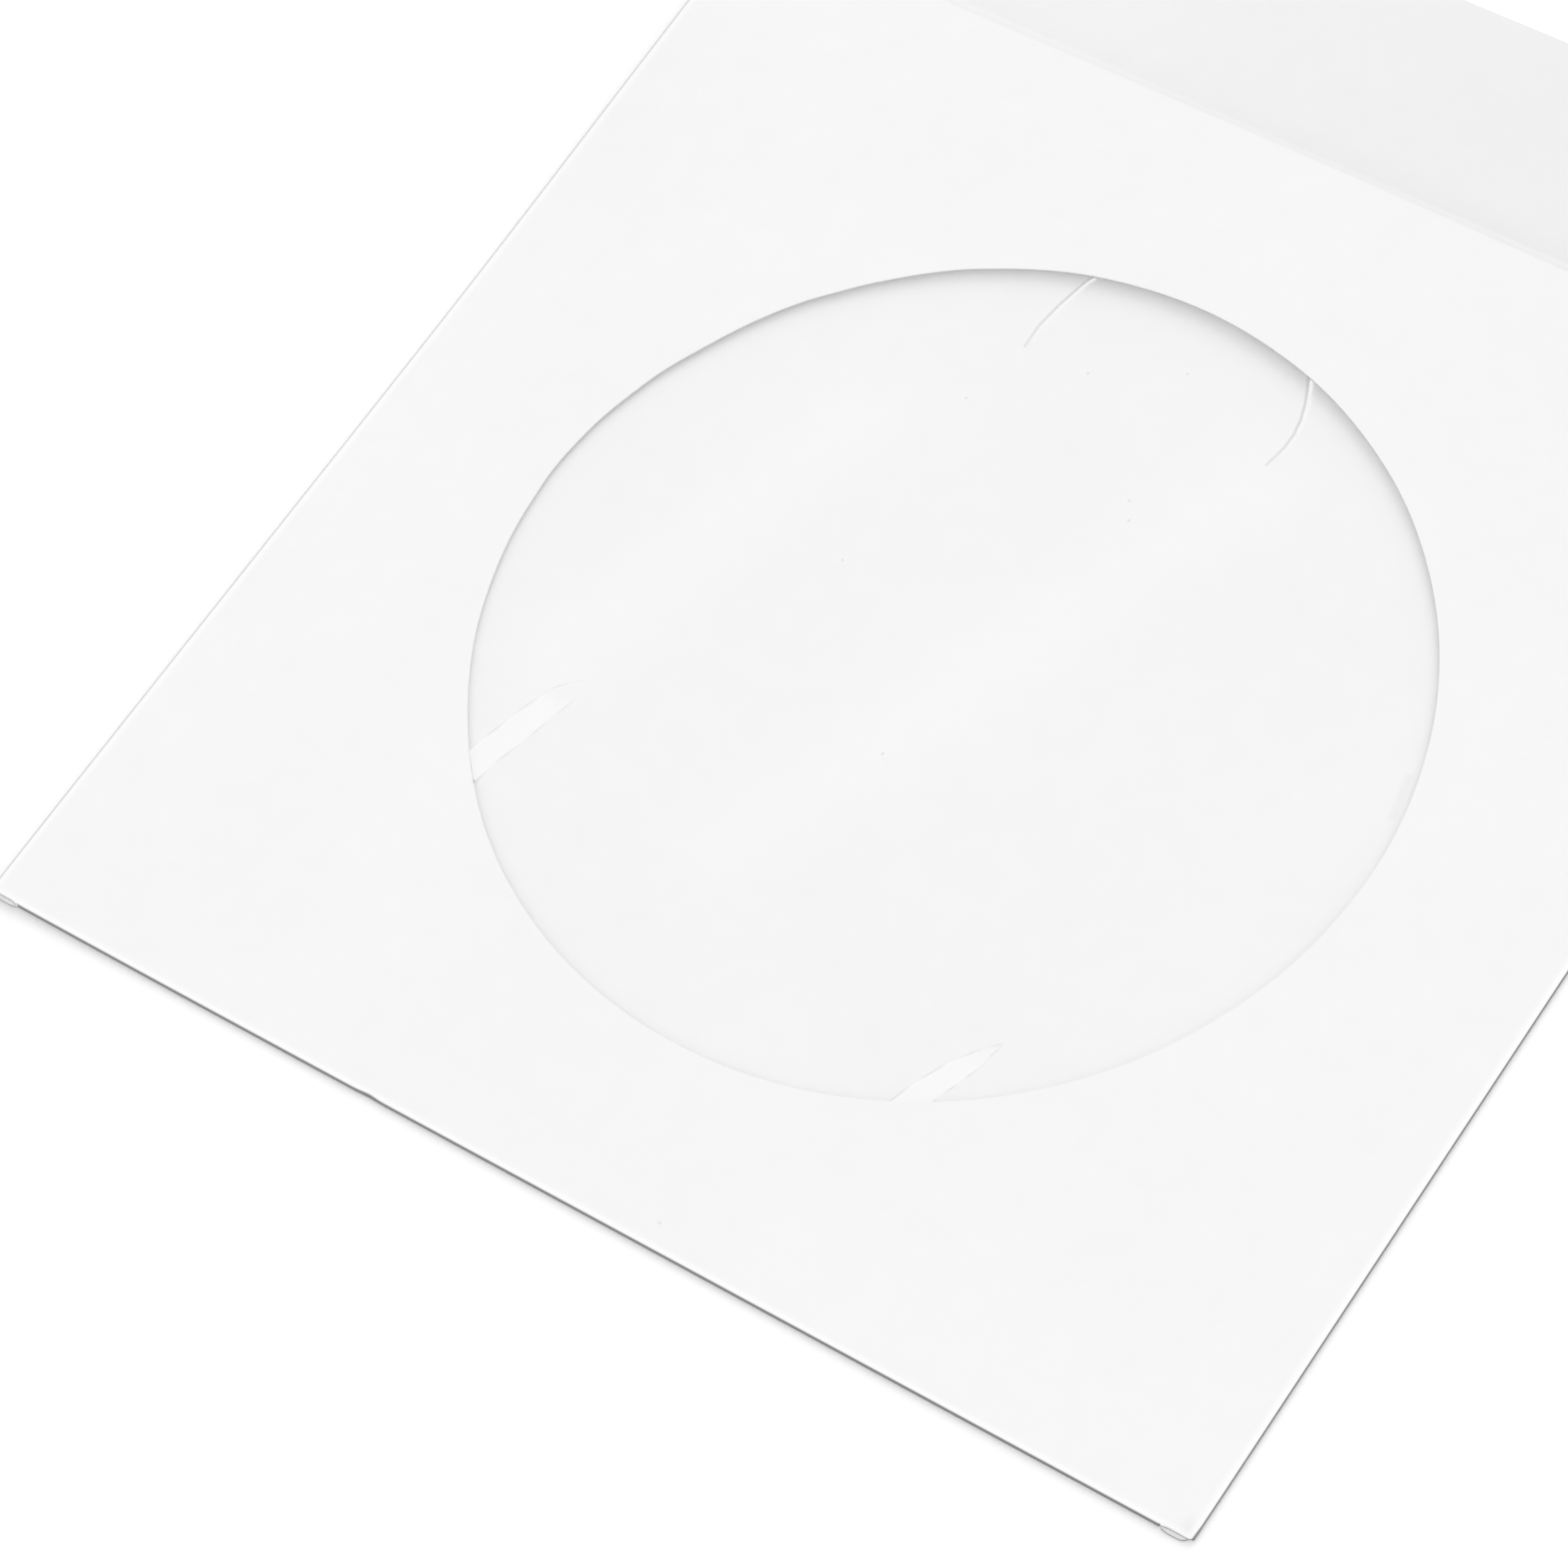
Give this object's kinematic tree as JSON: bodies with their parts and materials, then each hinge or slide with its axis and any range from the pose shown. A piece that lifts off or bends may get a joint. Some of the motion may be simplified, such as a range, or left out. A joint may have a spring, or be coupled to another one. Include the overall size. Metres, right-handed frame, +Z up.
{
  "type": "paper disc sleeve",
  "caption": "Flat white paper sleeve for a disc, with a round window of clear film, folded and glued edges and an open closing flap.",
  "frame": {"origin": "on the table under the middle of the sleeve's bounding box", "axes": "+X across the sleeve, +Y from the bottom fold towards the closing flap, +Z up from the back panel to the window side"},
  "size_m": [0.125, 0.1454, 0.0028],
  "materials": {
    "white_paper": "matt uncoated white paper",
    "clear_film": "thin clear glossy film"
  },
  "bodies": {
    "root": {"paper_sleeve": "white_paper", "window_film": "clear_film"}
  },
  "joints": []
}
